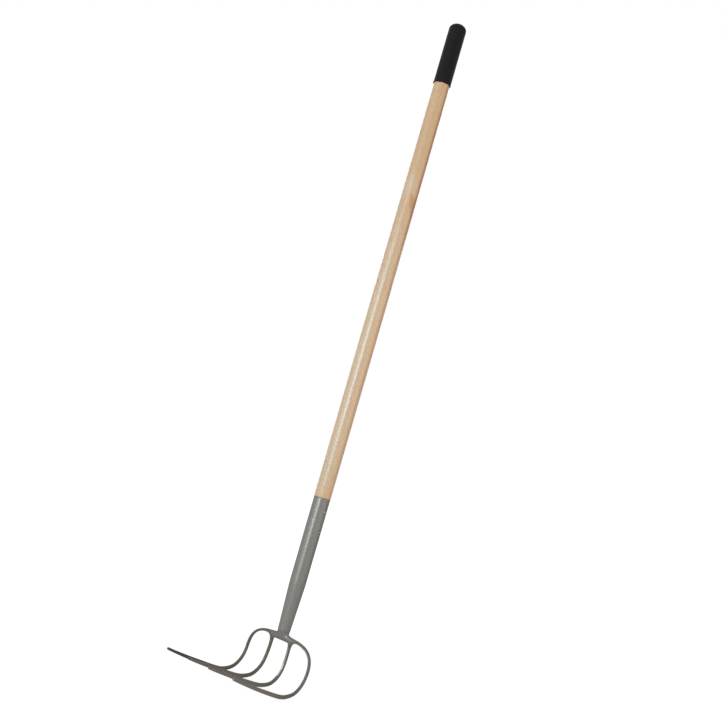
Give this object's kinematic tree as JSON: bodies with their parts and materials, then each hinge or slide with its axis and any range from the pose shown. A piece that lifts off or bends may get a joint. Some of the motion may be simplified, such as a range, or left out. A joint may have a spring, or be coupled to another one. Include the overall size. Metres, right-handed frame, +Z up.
{
  "type": "manure fork",
  "caption": "Long handled manure fork: ash shaft with a black end grip, tapered steel socket and a forged head whose bent tines drag or pull.",
  "frame": {"origin": "on the shaft's axis at the point of balance, 82 mm above the mouth of the socket, where a tool clip holds the fork", "axes": "+Z up the shaft towards the grip, +X the way the tines point, +Y across the four tines"},
  "size_m": [0.2443, 0.1598, 1.3344],
  "materials": {
    "ash": "clear satin lacquer over turned ash",
    "grip": "smooth matte black vinyl",
    "socket_paint": "satin warm grey paint on steel",
    "weld_paint": "satin warm grey paint on a dressed weld",
    "head_paint": "satin warm grey paint on forged steel",
    "rivet": "bare steel, slightly tarnished"
  },
  "bodies": {
    "root": {"shaft": "ash", "end_grip": "grip", "socket": "socket_paint", "weld_bead": "weld_paint", "tine_head": "head_paint", "rivet_upper": "rivet", "rivet_lower": "rivet"}
  },
  "joints": []
}
